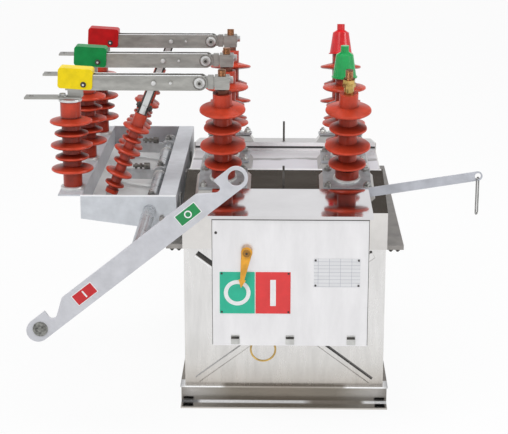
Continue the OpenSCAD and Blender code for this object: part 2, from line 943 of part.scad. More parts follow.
module side_arm() {
  color([0.7, 0.71, 0.73])
    translate([0, arm_y, 0])
      difference() {
        link_bar([arm_x, arm_z], [arm_end_x, arm_end_z], arm_w, arm_t);
        translate([arm_x, 0, arm_z]) y_rod(arm_pin_r + pin_gap, 4 * arm_t);
        translate([arm_end_x, 0, arm_end_z]) y_rod(arm_hole, 4 * arm_t);
      }
}

// Long wire loop that hangs through the hole of the arm
module arm_loop() {
  color([0.6, 0.6, 0.6])
    translate([arm_end_x, arm_y, loop_z]) rotate([0, 0, 62]) {
      translate([0, 0, -loop_r]) loop_bend();
      translate([0, 0, loop_r - loop_l]) mirror([0, 0, 1]) loop_bend();
      for (s = [-1, 1]) translate([s * loop_r, 0, loop_r - loop_l])
        cylinder(r = loop_wire, h = loop_l - 2 * loop_r);
    }
}

// Upper half of a wire ring, about its centre
module loop_bend() {
  box = 4 * loop_r;
  difference() {
    rotate([90, 0, 0]) rotate_extrude() translate([loop_r, 0]) circle(loop_wire);
    translate([-box / 2, -box / 2, -box]) cube(box);
  }
}

base_front();
base_rear();
base_sides();
housing();
front_ribs();
hood_front();
hood_rear();
hood_sides();
hood_centre();
side_beams();
bushing_seats();
bushing_flanges();
bushings_left();
bushings_right();
studs();
stud_nuts();
cap_green();
cap_red();
lifting_eyes();
terminal_clamps();
blade_front();
blade_middle();
blade_rear();
cover_yellow();
cover_green();
cover_red();
posts();
post_contacts();
rod_front();
rod_middle();
rod_rear();
frame_front();
frame_rear();
frame_left();
frame_right();
frame_floor();
frame_brackets();
shaft();
cranks();
handle();
handle_plug();
stop_pin();
mechanism_box();
mechanism_front();
mechanism_lid();
sign_plate();
name_plate();
pointer();
ring_eye();
pull_ring();
arm_hub();
side_arm();
arm_loop();
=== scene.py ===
import json
import math

import bmesh
import bpy
from mathutils import Matrix, Vector


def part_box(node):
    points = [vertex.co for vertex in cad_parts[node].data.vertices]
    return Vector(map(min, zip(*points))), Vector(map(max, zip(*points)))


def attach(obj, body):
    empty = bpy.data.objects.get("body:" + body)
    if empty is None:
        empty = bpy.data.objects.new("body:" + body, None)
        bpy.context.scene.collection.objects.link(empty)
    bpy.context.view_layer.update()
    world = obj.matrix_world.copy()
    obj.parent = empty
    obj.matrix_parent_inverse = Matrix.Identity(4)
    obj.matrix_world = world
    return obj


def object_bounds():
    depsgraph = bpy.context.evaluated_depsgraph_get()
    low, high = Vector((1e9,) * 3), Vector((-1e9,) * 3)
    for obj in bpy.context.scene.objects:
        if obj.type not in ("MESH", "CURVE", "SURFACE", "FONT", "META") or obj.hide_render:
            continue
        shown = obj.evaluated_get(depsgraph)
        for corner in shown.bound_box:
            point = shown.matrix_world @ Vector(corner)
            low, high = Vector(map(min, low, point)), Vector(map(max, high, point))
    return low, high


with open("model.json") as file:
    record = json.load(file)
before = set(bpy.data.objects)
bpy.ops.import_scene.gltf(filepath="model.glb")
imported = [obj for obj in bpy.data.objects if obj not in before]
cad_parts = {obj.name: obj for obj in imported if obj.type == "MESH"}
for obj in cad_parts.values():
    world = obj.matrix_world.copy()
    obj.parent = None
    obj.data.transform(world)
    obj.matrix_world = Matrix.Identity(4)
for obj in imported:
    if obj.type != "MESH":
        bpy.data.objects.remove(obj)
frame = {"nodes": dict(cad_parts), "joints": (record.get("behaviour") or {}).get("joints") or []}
cad_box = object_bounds()

# ---- Camera ----
# A long lens stands well back from the breaker and a little above it, and looks down on the
# roof by 16 degrees. The front of the mechanism box faces it almost squarely.
camera_data = bpy.data.cameras.new("studio_camera")
camera_data.sensor_width = 36.0
camera_data.lens = 109.4
camera_data.clip_end = 60.0
camera = bpy.data.objects.new("studio_camera", camera_data)
bpy.context.collection.objects.link(camera)
camera.location = (-0.0026, -4.268, 1.646)
camera.rotation_euler = (math.radians(90 - 16.14), 0, math.radians(1.153))
bpy.context.scene.camera = camera


# ---- Light and floor ----
# Soft studio lamps above and to both sides, over a pale floor that runs on as a white backdrop.
# Polished sheet picks up a dim band round the upper walls, under a light ceiling.
def studio_lamp(name, place, target, width, power):
    """A soft rectangular lamp that looks at a point."""
    lamp_data = bpy.data.lights.new(name, "AREA")
    lamp_data.shape = "RECTANGLE"
    lamp_data.size = width
    lamp_data.size_y = width * 0.6
    lamp_data.energy = power
    lamp = bpy.data.objects.new(name, lamp_data)
    bpy.context.collection.objects.link(lamp)
    lamp.location = place
    lamp.rotation_euler = (Vector(target) - Vector(place)).to_track_quat("-Z", "Y").to_euler()
    return lamp


studio_lamp("key_lamp", (-1.6, -2.6, 3.4), (0, 0, 0.5), width=1.6, power=55)
studio_lamp("side_lamp", (3.0, -1.2, 1.8), (0, 0, 0.5), width=1.4, power=22)
top_lamp = studio_lamp("top_lamp", (0.2, 1.4, 3.2), (0, 0, 0.6), width=1.8, power=30)
top_lamp.visible_glossy = False

# The room: what lights the breaker, what its polished sheet mirrors, and the white backdrop.
world = bpy.data.worlds.new("studio_world")
bpy.context.scene.world = world
world.use_nodes = True
sky = world.node_tree
sky.nodes.clear()
sky_out = sky.nodes.new("ShaderNodeOutputWorld")
sky_path = sky.nodes.new("ShaderNodeLightPath")
sky_light = sky.nodes.new("ShaderNodeBackground")
sky_light.inputs["Color"].default_value = (0.95, 0.97, 1.0, 1)
sky_light.inputs["Strength"].default_value = 0.62
sky_seen = sky.nodes.new("ShaderNodeBackground")
sky_seen.inputs["Color"].default_value = (1, 1, 1, 1)
sky_seen.inputs["Strength"].default_value = 1.0
sky_place = sky.nodes.new("ShaderNodeTexCoord")
sky_axes = sky.nodes.new("ShaderNodeSeparateXYZ")
sky.links.new(sky_place.outputs["Generated"], sky_axes.inputs["Vector"])
walls = sky.nodes.new("ShaderNodeValToRGB")
dim_wall = (0.085, 0.075, 0.066, 1)
walls.color_ramp.elements[0].position = 0.36
walls.color_ramp.elements[0].color = (0.92, 0.92, 0.93, 1)
walls.color_ramp.elements[1].position = 0.52
walls.color_ramp.elements[1].color = dim_wall
for height, shade in ((0.76, dim_wall), (0.90, (0.70, 0.70, 0.71, 1))):
    walls.color_ramp.elements.new(height).color = shade
sky.links.new(sky_axes.outputs["Z"], walls.inputs["Fac"])
sky_gloss = sky.nodes.new("ShaderNodeBackground")
sky.links.new(walls.outputs["Color"], sky_gloss.inputs["Color"])
gloss_mix = sky.nodes.new("ShaderNodeMixShader")
sky.links.new(sky_path.outputs["Is Glossy Ray"], gloss_mix.inputs["Fac"])
sky.links.new(sky_light.outputs[0], gloss_mix.inputs[1])
sky.links.new(sky_gloss.outputs[0], gloss_mix.inputs[2])
seen_mix = sky.nodes.new("ShaderNodeMixShader")
sky.links.new(sky_path.outputs["Is Camera Ray"], seen_mix.inputs["Fac"])
sky.links.new(gloss_mix.outputs[0], seen_mix.inputs[1])
sky.links.new(sky_seen.outputs[0], seen_mix.inputs[2])
sky.links.new(seen_mix.outputs[0], sky_out.inputs["Surface"])
bpy.context.scene.view_settings.view_transform = "Standard"


def along(finish, axis):
    """Place along one axis of the object, in metres."""
    tree = finish.node_tree
    place = tree.nodes.new("ShaderNodeTexCoord")
    axes = tree.nodes.new("ShaderNodeSeparateXYZ")
    tree.links.new(place.outputs["Object"], axes.inputs["Vector"])
    return axes.outputs[axis]


def worked(finish, way, *values):
    """Result of one sum, on sockets or plain numbers."""
    step = finish.node_tree.nodes.new("ShaderNodeMath")
    step.operation = way
    for socket, value in zip(step.inputs, values):
        if isinstance(value, (int, float)):
            socket.default_value = value
        else:
            finish.node_tree.links.new(value, socket)
    return step.outputs[0]


def shader_of(finish):
    """The shader at the end of a finish."""
    return finish.node_tree.nodes["Principled BSDF"]


# Matt white floor. It glows plain white to the camera and in reflections, but under the base it does not
# glow and its colour is painted near black, a painted shadow.
bpy.ops.object.select_all(action="DESELECT")
bpy.ops.mesh.primitive_plane_add(size=24, location=(0, 0, cad_box[0][2]))
floor = bpy.context.object
floor.name = "studio_floor"
bpy.ops.object.transform_apply(location=True, rotation=True, scale=True)
floor_paint = bpy.data.materials.new("studio_floor_paint")
floor_paint.use_nodes = True
paint = floor_paint.node_tree
paint_base = shader_of(floor_paint)
paint_base.inputs["Roughness"].default_value = 0.9
paint_glow = paint.nodes.new("ShaderNodeEmission")
paint_glow.inputs["Color"].default_value = (1, 1, 1, 1)
paint_path = paint.nodes.new("ShaderNodeLightPath")
base_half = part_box("base_rear")[1]
across = worked(floor_paint, "ABSOLUTE", along(floor_paint, "X"))
deep_in = worked(floor_paint, "ABSOLUTE", along(floor_paint, "Y"))
beyond = worked(floor_paint, "MAXIMUM", worked(floor_paint, "DIVIDE", across, base_half[0]),
                worked(floor_paint, "DIVIDE", deep_in, base_half[1]))
edge = paint.nodes.new("ShaderNodeMapRange")
edge.inputs["From Min"].default_value = 0.985
edge.inputs["From Max"].default_value = 1.0
edge.inputs["To Max"].default_value = 0.93
paint.links.new(beyond, edge.inputs["Value"])
seen = worked(floor_paint, "MAXIMUM", paint_path.outputs["Is Camera Ray"],
              paint_path.outputs["Is Glossy Ray"])
glow_share = worked(floor_paint, "MULTIPLY", seen, edge.outputs["Result"])
paint_mix = paint.nodes.new("ShaderNodeMixShader")
paint.links.new(glow_share, paint_mix.inputs["Fac"])
paint.links.new(paint_base.outputs[0], paint_mix.inputs[1])
paint.links.new(paint_glow.outputs[0], paint_mix.inputs[2])
paint.links.new(paint_mix.outputs[0], paint.nodes["Material Output"].inputs["Surface"])
# Painted shadow: the floor's colour is near black under the base and pale grey elsewhere.
painted_floor_shadow = paint.nodes.new("ShaderNodeMix")
painted_floor_shadow.data_type = "RGBA"
painted_floor_shadow.inputs[6].default_value = (0.03, 0.03, 0.03, 1)
painted_floor_shadow.inputs[7].default_value = (0.86, 0.86, 0.86, 1)
paint.links.new(edge.outputs["Result"], painted_floor_shadow.inputs[0])
paint.links.new(painted_floor_shadow.outputs[2], paint_base.inputs["Base Color"])
floor.data.materials.append(floor_paint)


# ---- Base channels ----
# Rolled steel channels and angle bars welded into a frame under the housing, dull and slightly
# stained, with slots for the foundation bolts in the lower legs.
def surface(name, colour, roughness, grain, metallic=0.0, stretch=(1, 1, 1), spread=0.12,
            bump=0.05, deep=0.002):
    """A finish whose colour and sheen wander a little over the surface, in metres."""
    finish = bpy.data.materials.new(name)
    finish.use_nodes = True
    tree = finish.node_tree
    shader = shader_of(finish)
    shader.inputs["Metallic"].default_value = metallic
    place = tree.nodes.new("ShaderNodeTexCoord")
    turn = tree.nodes.new("ShaderNodeMapping")
    turn.inputs["Scale"].default_value = stretch
    noise = tree.nodes.new("ShaderNodeTexNoise")
    noise.inputs["Scale"].default_value = grain
    noise.inputs["Detail"].default_value = 6
    noise.inputs["Roughness"].default_value = 0.6
    tree.links.new(place.outputs["Object"], turn.inputs["Vector"])
    tree.links.new(turn.outputs["Vector"], noise.inputs["Vector"])
    shades = tree.nodes.new("ShaderNodeValToRGB")
    dark = tuple(c * (1 - 2 * spread) for c in colour)
    light = tuple(min(1, c * (1 + spread)) for c in colour)
    shades.color_ramp.elements[0].position = 0.32
    shades.color_ramp.elements[0].color = (*dark, 1)
    shades.color_ramp.elements[1].position = 0.68
    shades.color_ramp.elements[1].color = (*light, 1)
    tree.links.new(noise.outputs["Fac"], shades.inputs["Fac"])
    tree.links.new(shades.outputs["Color"], shader.inputs["Base Color"])
    sheen = tree.nodes.new("ShaderNodeMapRange")
    sheen.inputs["To Min"].default_value = max(0.02, roughness * 0.75)
    sheen.inputs["To Max"].default_value = min(1, roughness * 1.3)
    tree.links.new(noise.outputs["Fac"], sheen.inputs["Value"])
    tree.links.new(sheen.outputs["Result"], shader.inputs["Roughness"])
    if bump:
        relief = tree.nodes.new("ShaderNodeBump")
        relief.inputs["Strength"].default_value = bump
        relief.inputs["Distance"].default_value = deep
        tree.links.new(noise.outputs["Fac"], relief.inputs["Height"])
        tree.links.new(relief.outputs["Normal"], shader.inputs["Normal"])
    return finish


def dress(finish, *names):
    """Gives CAD nodes their finish."""
    for name in names:
        node = frame["nodes"][name]
        node.data.materials.clear()
        node.data.materials.append(finish)


def bands(finish, value, stops, way="LINEAR"):
    """Shades along a value, each at its own place; a single number is a grey."""
    tree = finish.node_tree
    low, high = stops[0][0], stops[-1][0]
    share = tree.nodes.new("ShaderNodeMapRange")
    share.inputs["From Min"].default_value = low
    share.inputs["From Max"].default_value = high
    tree.links.new(value, share.inputs["Value"])
    ramp = tree.nodes.new("ShaderNodeValToRGB")
    ramp.color_ramp.interpolation = way
    marks = ramp.color_ramp.elements
    tones = [tone if isinstance(tone, tuple) else (tone, tone, tone) for place, tone in stops]
    marks[0].position = 0.0
    marks[1].position = 1.0
    marks[0].color = (*tones[0], 1)
    marks[1].color = (*tones[-1], 1)
    for (place, tone), shade in zip(stops[1:-1], tones[1:-1]):
        marks.new((place - low) / (high - low)).color = (*shade, 1)
    tree.links.new(share.outputs["Result"], ramp.inputs["Fac"])
    return ramp.outputs["Color"]


def painted(finish, share, colour, way="MIX"):
    """Lays a colour, or a socket with one, over the finish by a share."""
    tree = finish.node_tree
    base = shader_of(finish).inputs["Base Color"]
    mix = tree.nodes.new("ShaderNodeMix")
    mix.data_type = "RGBA"
    mix.blend_type = way
    under = base.links[0].from_socket
    for socket, value in ((mix.inputs[0], share), (mix.inputs[6], under), (mix.inputs[7], colour)):
        if isinstance(value, float):
            socket.default_value = value
        elif isinstance(value, tuple):
            socket.default_value = (*value, 1)
        else:
            tree.links.new(value, socket)
    tree.links.new(mix.outputs[2], base)


channel_steel = surface("channel_steel", (0.30, 0.27, 0.235), roughness=0.30, grain=9,
                        metallic=0.85, stretch=(1, 1, 6), spread=0.2)
dress(channel_steel, "base_rear", "base_sides")

# The front channel is tinted brown, and lighter towards both ends as painted sheen. Painted highlights
# run near white along both ends of its upper edge and along the bend of its lower leg, and the upper
# face of the leg is painted lighter as painted light.
front_channel = surface("front_channel", (1, 1, 1), roughness=0.20, grain=9, metallic=0.85,
                        stretch=(1, 1, 6), spread=0.10)
channel_x = along(front_channel, "X")
channel_y = along(front_channel, "Y")
channel_z = along(front_channel, "Z")
from_middle = worked(front_channel, "ABSOLUTE", channel_x)
end_x = 0.277
painted(front_channel, 1.0, bands(front_channel, from_middle, [
    (0.0, (0.27, 0.235, 0.195)), (0.14, (0.28, 0.25, 0.21)), (0.21, (0.42, 0.40, 0.37)),
    (0.25, (0.46, 0.44, 0.42)), (end_x, (0.30, 0.28, 0.26))]), "MULTIPLY")
# Painted highlight near white along both ends of the upper edge.
upper_edge = worked(front_channel, "GREATER_THAN", channel_z, 0.0605)
painted(front_channel, upper_edge, bands(front_channel, from_middle, [
    (0.0, (0.36, 0.32, 0.28)), (0.155, (0.42, 0.39, 0.35)), (0.17, 1.0), (0.262, 1.0), (end_x, 0.5)]))
# Painted light: the upper face of the lower leg is lighter.
on_leg = worked(front_channel, "LESS_THAN", channel_z, 0.0055)
painted(front_channel, on_leg, (0.58, 0.55, 0.51))
# Painted highlight along the bend of the lower leg.
leg_bend = worked(front_channel, "MULTIPLY", worked(front_channel, "LESS_THAN", channel_z, 0.0085),
                  worked(front_channel, "GREATER_THAN", channel_y, -0.401))
painted(front_channel, leg_bend, bands(front_channel, channel_x, [
    (-end_x, 0.35), (-0.235, 0.45), (-0.225, 1.0), (0.05, 0.95), (0.08, (0.50, 0.46, 0.42)),
    (0.205, (0.46, 0.43, 0.39)), (0.22, 1.0), (end_x, 0.9)]))

# Painted shade round each bolt slot on the leg, where the slot shows dark, and a painted reflection of
# it on the web behind.
slot_x = 0.258
slot_reach = 0.0135
slot_off = worked(front_channel, "SUBTRACT", from_middle, slot_x)
near_slot = worked(front_channel, "LESS_THAN", worked(front_channel, "ABSOLUTE", slot_off), slot_reach)
leg_slot_shade = worked(front_channel, "COMPARE", channel_y, -0.413, 0.0125)
on_web = worked(front_channel, "GREATER_THAN", channel_y, -0.393)
web_slot_reflection = worked(front_channel, "COMPARE", channel_z, 0.0150, 0.0030)
for part, dark_mark in ((on_leg, leg_slot_shade), (on_web, web_slot_reflection)):
    spot = worked(front_channel, "MULTIPLY", part, dark_mark)
    painted(front_channel, worked(front_channel, "MULTIPLY", near_slot, spot), (0.02, 0.018, 0.016))
dress(front_channel, "base_front")


# ---- Housing walls ----
# Bent stainless sheet, rolled bright, with faint upright brush lines, darker and browner towards the
# base. It is welded into one box, and the front wall is stiffened by a stamped cross of ribs.
def dulled(finish, share):
    """Takes the metal out of a finish by a share, as on dull or lit edges."""
    metal = shader_of(finish).inputs["Metallic"]
    left = worked(finish, "MULTIPLY", worked(finish, "SUBTRACT", 1.0, share), metal.default_value)
    finish.node_tree.links.new(left, metal)


wall_tones = [
    (0.065, (0.62, 0.58, 0.53)), (0.085, (0.74, 0.71, 0.67)), (0.13, (0.88, 0.87, 0.85)),
    (0.22, 1.0), (0.60, 1.0)]
housing_steel = surface("housing_steel", (0.80, 0.79, 0.78), roughness=0.26, grain=14, metallic=0.9,
                        stretch=(3, 3, 0.5), spread=0.05, bump=0.04)
painted(housing_steel, 1.0, bands(housing_steel, along(housing_steel, "Z"), wall_tones), "MULTIPLY")
dress(housing_steel, "housing")

# Stamped ribs, with painted shade, a painted reflection and painted highlights on their slopes. A place
# on them is told by its distance from the middle line of the rising and of the falling rib.
rib_steel = surface("rib_steel", (0.80, 0.79, 0.78), roughness=0.26, grain=14, metallic=0.9,
                    stretch=(3, 3, 0.5), spread=0.05, bump=0.04)
rib_z = along(rib_steel, "Z")
painted(rib_steel, 1.0, bands(rib_steel, rib_z, wall_tones), "MULTIPLY")
rib_sine, rib_cosine = 0.605, 0.796
rib_crossing = 0.2555
rib_half = 0.0106
rib_across = worked(rib_steel, "MULTIPLY", along(rib_steel, "X"), rib_sine)
rib_up = worked(rib_steel, "MULTIPLY", worked(rib_steel, "SUBTRACT", rib_z, rib_crossing), rib_cosine)
falling = worked(rib_steel, "ADD", rib_across, rib_up)
rising = worked(rib_steel, "SUBTRACT", rib_up, rib_across)
on_rising = worked(rib_steel, "LESS_THAN", worked(rib_steel, "ABSOLUTE", rising), rib_half)
on_falling = worked(rib_steel, "LESS_THAN", worked(rib_steel, "ABSOLUTE", falling), rib_half)
# Rising rib: a grey line of painted shade along its lower edge, and its upper slope painted mid grey and
# non-metal, in place of its own reflection.
painted(rib_steel, on_rising, bands(rib_steel, rising, [
    (-rib_half, 0.60), (-0.0088, 1.0), (rib_half, 1.0)], "CONSTANT"), "MULTIPLY")
upper_slope = worked(rib_steel, "MULTIPLY", on_rising, worked(rib_steel, "GREATER_THAN", rising, 0.0076))
painted(rib_steel, upper_slope, (0.50, 0.49, 0.48))
dulled(rib_steel, upper_slope)
# Falling rib: a grey line of painted shade along its lower edge, and its upper slope painted near black
# as a painted reflection of the dark side of the room.
painted(rib_steel, on_falling, bands(rib_steel, falling, [
    (-rib_half, 0.45), (-0.0085, 1.0), (0.0035, 0.07), (rib_half, 0.06)], "CONSTANT"), "MULTIPLY")
# On the left half of the falling rib, a dark line of painted shade and a near-white painted highlight
# line.
left_end = worked(rib_steel, "LESS_THAN", rib_across, 0.0)
for middle, half, tone in ((0.0010, 0.0035, (0.07, 0.065, 0.06)), (-0.0080, 0.0027, (0.97, 0.97, 0.97))):
    line = worked(rib_steel, "COMPARE", falling, middle, half)
    painted(rib_steel, worked(rib_steel, "MULTIPLY", left_end, line), tone)
dress(rib_steel, "front_ribs")

# ---- Roof and seats ----
# Folded roof sheets of the same steel, polished almost like a mirror. A thin near-white line is painted
# along the upper edge of the front one as a painted highlight, and the step face of the rear one is
# painted white as painted light, with a near-black band across it.
hood_steel = surface("hood_steel", (0.74, 0.72, 0.70), roughness=0.13, grain=5, metallic=1.0,
                     stretch=(1, 3, 1), spread=0.08, bump=0.12, deep=0.004)
dress(hood_steel, "hood_sides")
roof_steel = surface("roof_steel", (0.74, 0.72, 0.70), roughness=0.13, grain=5, metallic=1.0,
                     stretch=(1, 3, 1), spread=0.08, bump=0.12, deep=0.004)
# Painted highlight: a near-white, non-metal line along the upper edge of the front sheet.
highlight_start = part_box("hood_front")[1][1] - 0.008
ridge_highlight = worked(roof_steel, "GREATER_THAN", along(roof_steel, "Y"), highlight_start)
painted(roof_steel, ridge_highlight, (0.97, 0.97, 0.97))
dulled(roof_steel, ridge_highlight)
dress(roof_steel, "hood_front")
# The rear sheet takes a darker, rougher copy of the same steel, as painted shade.
rear_steel = surface("rear_steel", (0.55, 0.54, 0.53), roughness=0.30, grain=5, metallic=0.85,
                     stretch=(1, 3, 1), spread=0.06, deep=0.004)
# Its step face is non-metal and painted white as painted light, with a near-black band across it.
step_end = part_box("hood_rear")[0][1] + 0.0015
step_face = worked(rear_steel, "LESS_THAN", along(rear_steel, "Y"), step_end)
dulled(rear_steel, step_face)
painted(rear_steel, step_face, bands(rear_steel, along(rear_steel, "Z"), [
    (0.567, 1.0), (0.5765, 0.80), (0.5775, 0.03), (0.5825, 0.02), (0.584, 1.0), (0.595, 1.0)]))
dress(rear_steel, "hood_rear")

# The sunken middle panel carries a painted reflection of the rear sheet, a dark band across it, whose
# edges wander by noise as if the panel were slightly wavy.
panel_steel = surface("panel_steel", (0.88, 0.87, 0.89), roughness=0.34, grain=5, metallic=0.5,
                      stretch=(1, 3, 1), spread=0.03, bump=0.10, deep=0.004)
panel_drift = panel_steel.node_tree.nodes["Noise Texture"].outputs["Fac"]
wave = worked(panel_steel, "MULTIPLY", panel_drift, 0.10)
wavy_y = worked(panel_steel, "ADD", along(panel_steel, "Y"), wave)
painted(panel_steel, 1.0, bands(panel_steel, wavy_y, [
    (0.088, (0.93, 0.92, 0.95)), (0.094, (0.36, 0.35, 0.34)), (0.102, (0.45, 0.44, 0.43)),
    (0.116, (0.97, 0.97, 0.97))]), "MULTIPLY")
dress(panel_steel, "hood_centre")
seat_steel = surface("seat_steel", (0.62, 0.61, 0.59), roughness=0.32, grain=12, metallic=0.85,
                     spread=0.10)
dress(seat_steel, "bushing_seats")

# ---- Flanges, brackets and lifting eyes ----
# Grey steel bars bolted under the edge of the roof, zinc plated brackets for the switch frame,
# the charging arm's hub and hanging wire loop, and two black forged eyes for the crane.
flange_steel = surface("flange_steel", (0.36, 0.34, 0.32), roughness=0.45, grain=20, metallic=0.7,
                       spread=0.15)
dress(flange_steel, "side_beams", "stop_pin", "arm_hub")
bracket_zinc = surface("bracket_zinc", (0.62, 0.62, 0.60), roughness=0.35, grain=30, metallic=0.8)
dress(bracket_zinc, "frame_brackets")
loop_wire = surface("loop_wire", (0.34, 0.34, 0.33), roughness=0.25, grain=60, metallic=0.85,
                    spread=0.2)
dress(loop_wire, "arm_loop")
eye_steel = surface("eye_steel", (0.13, 0.12, 0.11), roughness=0.3, grain=60, metallic=0.85, spread=0.3)
dress(eye_steel, "lifting_eyes")
arm_enamel = surface("arm_enamel", (0.50, 0.51, 0.55), roughness=0.42, grain=14, metallic=0.1,
                     bump=0.04)
dress(arm_enamel, "side_arm")


# ---- Bushings ----
# Red silicone rubber moulded over the core, in wide and narrow sheds. A grey cast flange with
# four bolts holds each one down on its seat.
def shade_grooves(finish, reach, low, high, floor_tone):
    """Darkens a finish in its grooves by ambient occlusion, as painted shade."""
    groove = finish.node_tree.nodes.new("ShaderNodeAmbientOcclusion")
    groove.samples = 6
    groove.inputs["Distance"].default_value = reach
    shade = bands(finish, groove.outputs["AO"], [(low, floor_tone), (high, 1.0)])
    painted(finish, 1.0, shade, "MULTIPLY")


silicone = surface("red_silicone", (0.64, 0.062, 0.024), roughness=0.34, grain=26, spread=0.14,
                   bump=0.03)
shader_of(silicone).inputs["Specular IOR Level"].default_value = 0.35
shader_of(silicone).inputs["Coat Weight"].default_value = 0.12
shader_of(silicone).inputs["Coat Roughness"].default_value = 0.2
# Painted shade in the grooves between the sheds.
groove_shade = (0.20, 0.13, 0.11)
shade_grooves(silicone, 0.06, 0.40, 0.97, groove_shade)
dress(silicone, "bushings_left", "bushings_right", "posts")
flange_zinc = surface("flange_zinc", (0.50, 0.52, 0.54), roughness=0.4, grain=40, metallic=0.6)
dress(flange_zinc, "bushing_flanges")


def alone(piece):
    """Makes one piece the selected and active object."""
    bpy.ops.object.select_all(action="DESELECT")
    piece.select_set(True)
    bpy.context.view_layer.objects.active = piece


def pick_faces(piece, test):
    """Selects the faces of a piece in edit mode whose middle and normal pass a test."""
    bpy.ops.mesh.select_mode(type="FACE")
    bpy.ops.mesh.select_all(action="DESELECT")
    shape = bmesh.from_edit_mesh(piece.data)
    for face in shape.faces:
        face.select_set(test(face.calc_center_median(), face.normal))
    bmesh.update_edit_mesh(piece.data)


def round_disc(name, radius, height, bevel, base=0.0, sides=32):
    """A turned disc with a rounded upper edge, standing at a height."""
    bpy.ops.object.select_all(action="DESELECT")
    bpy.ops.mesh.primitive_cylinder_add(
        vertices=sides, radius=radius, depth=height, location=(0, 0, base + height / 2))
    disc = bpy.context.object
    disc.name = name
    bpy.ops.object.transform_apply(location=True, rotation=True, scale=True)
    bpy.ops.object.mode_set(mode="EDIT")
    pick_faces(disc, lambda middle, normal: normal.z > 0.9)
    bpy.ops.mesh.bevel(offset=bevel, segments=2, affect="EDGES")
    bpy.ops.object.mode_set(mode="OBJECT")
    return disc


def joined(name, pieces):
    """Joins pieces into one object under a new name."""
    alone(pieces[0])
    for piece in pieces[1:]:
        piece.select_set(True)
    bpy.ops.object.join()
    whole = bpy.context.object
    whole.name = name
    bpy.ops.object.shade_smooth_by_angle(angle=math.radians(35))
    return whole


def hex_bolt(name, corner, height, washer, end=0.0):
    """A chamfered hexagon head on a washer, with the bolt end above it if there is one."""
    parts = [
        round_disc("washer", washer, height * 0.22, height * 0.06),
        round_disc("head", corner, height * 0.8, corner * 0.14, base=height * 0.2, sides=6),
    ]
    if end:
        parts.append(round_disc("end", corner * 0.52, end, corner * 0.12, base=height))
    return joined(name, parts)


def lay_out(name, pattern, places, body, finish, last=True):
    """Copies a pattern to each place, joins the copies and fixes them to a body. The pattern
    goes with its last use."""
    copies = []
    for place in places:
        copy = pattern.copy()
        copy.data = pattern.data.copy()
        copy.data.transform(place)
        bpy.context.collection.objects.link(copy)
        copies.append(copy)
    whole = joined(name, copies)
    whole.data.materials.clear()
    whole.data.materials.append(finish)
    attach(whole, body)
    if last:
        bpy.data.objects.remove(pattern)


def at(x, y, z):
    """A move to a place."""
    return Matrix.Translation((x, y, z))


def turned(degrees, axis):
    """A turn about one axis."""
    return Matrix.Rotation(math.radians(degrees), 4, axis)


pole_pitch = 0.32
pole_lean = 10.5
terminal_x, terminal_z = 0.165, 0.868


def terminal(pole, side):
    """Frame of a bushing: its terminal point, with the axis leaning outwards."""
    return at(terminal_x * side, pole_pitch * pole, terminal_z) @ turned(-pole_lean * pole, "X")


# Bolts through the flange. Their heads stand at any angle, as they were tightened.
bushings = [(pole, side) for pole in (-1, 0, 1) for side in (-1, 1)]
flange_top = -0.274
bolt_off = 0.051
corners = [(x, y) for x in (-bolt_off, bolt_off) for y in (-bolt_off, bolt_off)]
bolt_zinc = surface("bolt_zinc", (0.50, 0.50, 0.48), roughness=0.3, grain=120, metallic=0.9, spread=0.2)
flange_bolt = hex_bolt("flange_bolt", corner=0.0085, height=0.009, washer=0.0105, end=0.005)
lay_out("flange_bolts", flange_bolt, [
    terminal(pole, side) @ at(x, y, flange_top) @ Matrix.Rotation(x * 9 + y * 5 + pole, 4, "Z")
    for pole, side in bushings for x, y in corners
], "breaker", bolt_zinc)

# Bright cast ring between the flange and the foot of each bushing.
ring_cast = surface("ring_cast", (0.80, 0.80, 0.78), roughness=0.3, grain=60, metallic=0.5,
                    spread=0.08, bump=0.03)
foot_ring = round_disc("foot_ring", radius=0.0365, height=0.006, bevel=0.0025, sides=48)
lay_out("foot_rings", foot_ring, [
    terminal(pole, side) @ at(0, 0, flange_top) for pole, side in bushings
], "breaker", ring_cast)

# ---- Terminals ----
# Threaded copper studs with brass nuts. Two of them wear coloured rubber caps that are pushed over them,
# and the left ones carry copper nuts under their clamps, darkened as painted shade.
stud_copper = surface("stud_copper", (0.44, 0.20, 0.10), roughness=0.33, grain=60, metallic=0.95,
                      spread=0.15, bump=0.0)
thread = stud_copper.node_tree.nodes.new("ShaderNodeTexWave")
thread.bands_direction = "Z"
thread.inputs["Scale"].default_value = 125
thread_place = stud_copper.node_tree.nodes.new("ShaderNodeTexCoord")
thread_relief = stud_copper.node_tree.nodes.new("ShaderNodeBump")
thread_relief.inputs["Strength"].default_value = 0.7
thread_relief.inputs["Distance"].default_value = 0.001
stud_copper.node_tree.links.new(thread_place.outputs["Object"], thread.inputs["Vector"])
stud_copper.node_tree.links.new(thread.outputs["Fac"], thread_relief.inputs["Height"])
stud_copper.node_tree.links.new(thread_relief.outputs["Normal"], shader_of(stud_copper).inputs["Normal"])
dress(stud_copper, "studs")
nut_brass = surface("nut_brass", (0.62, 0.42, 0.14), roughness=0.2, grain=60, metallic=1.0,
                    spread=0.2, bump=0.08)
dress(nut_brass, "stud_nuts", "pull_ring", "ring_eye")
green_cap_rubber = surface("green_cap_rubber", (0.008, 0.40, 0.095), roughness=0.22, grain=40,
                           spread=0.08, bump=0.03)
dress(green_cap_rubber, "cap_green")
red_cap_rubber = surface("red_cap_rubber", (0.74, 0.016, 0.02), roughness=0.2, grain=40,
                         spread=0.08, bump=0.03)
dress(red_cap_rubber, "cap_red")
